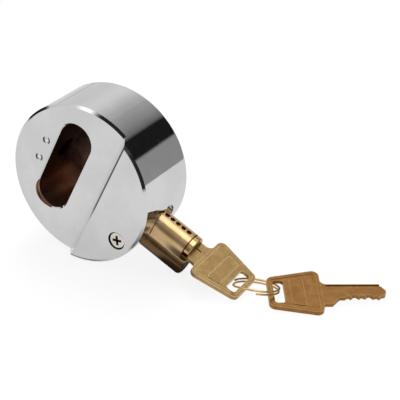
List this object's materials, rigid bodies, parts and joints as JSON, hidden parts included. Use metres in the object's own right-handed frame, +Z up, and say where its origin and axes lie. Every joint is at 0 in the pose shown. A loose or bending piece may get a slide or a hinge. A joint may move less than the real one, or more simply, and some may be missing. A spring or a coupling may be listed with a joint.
{
  "type": "round padlock",
  "caption": "Round puck padlock on its rim: polished steel body with a staple slot, brass key cylinder drawn out of the side, key in its plug, loose key on a split ring.",
  "frame": {"origin": "centre of the hasp face, the flat rear face with the staple slot", "axes": "-Y out of the hasp face, +Z up, as the lock stands on its rim; +X towards the side where the key cylinder comes out"},
  "size_m": [0.1666, 0.0497, 0.073],
  "materials": {
    "body_steel": "polished",
    "screw_steel": "satin",
    "dowel_steel": "ground",
    "bolt_steel": "turned",
    "shell_brass": "machined",
    "plug_brass": "machined",
    "pin_brass": "turned",
    "spring_steel": "drawn wire",
    "key_brass": "stamped",
    "loose_key_brass": "stamped",
    "ring_brass": "drawn wire"
  },
  "bodies": {
    "lock_body": {"lock_body": "body_steel", "retaining_screw": "screw_steel", "slot_dowel_1": "dowel_steel", "slot_dowel_2": "dowel_steel"},
    "key_cylinder": {"cylinder_shell": "shell_brass", "locking_bolt": "bolt_steel", "bolt_cross_pin": "screw_steel", "driver_pin_1": "pin_brass", "driver_pin_2": "pin_brass", "driver_pin_3": "pin_brass", "driver_pin_4": "pin_brass", "driver_pin_5": "pin_brass", "driver_pin_6": "pin_brass", "pin_spring_1": "spring_steel", "pin_spring_2": "spring_steel", "pin_spring_3": "spring_steel", "pin_spring_4": "spring_steel", "pin_spring_5": "spring_steel", "pin_spring_6": "spring_steel"},
    "plug": {"cylinder_plug": "plug_brass", "cam_wing": "screw_steel", "cam_screw": "screw_steel", "key_pin_1": "pin_brass", "key_pin_2": "pin_brass", "key_pin_3": "pin_brass", "key_pin_4": "pin_brass", "key_pin_5": "pin_brass", "key_pin_6": "pin_brass"},
    "first_key": {"key_in_plug": "key_brass"},
    "ring": {"split_ring": "ring_brass"},
    "second_key": {"loose_key": "loose_key_brass"}
  },
  "joints": [
    {"name": "cylinder_slide", "type": "slide", "parent": "lock_body", "child": "key_cylinder", "axis": [-0.9136, 0, 0.4067], "range_m": [0, 0.02]},
    {"name": "plug_turn", "type": "hinge", "parent": "key_cylinder", "child": "plug", "pos_m": [0.05134, 0.0125, -0.02285], "axis": [0.9136, 0, -0.4067], "range_deg": [-5, 85]},
    {"name": "key_slide", "type": "slide", "parent": "plug", "child": "first_key", "axis": [0.9136, 0, -0.4067], "range_m": [0, 0.03]},
    {"name": "ring_swing", "type": "hinge", "parent": "first_key", "child": "ring", "pos_m": [0.07171, 0.0121, -0.03195], "axis": [0.2666, -0.9083, 0.3223], "range_deg": [-55, 1]},
    {"name": "loose_key_swing", "type": "hinge", "parent": "ring", "child": "second_key", "pos_m": [0.08934, 0.01834, -0.03278], "axis": [-0.3978, 0.8614, -0.3159], "range_deg": [-30, 30]}
  ]
}
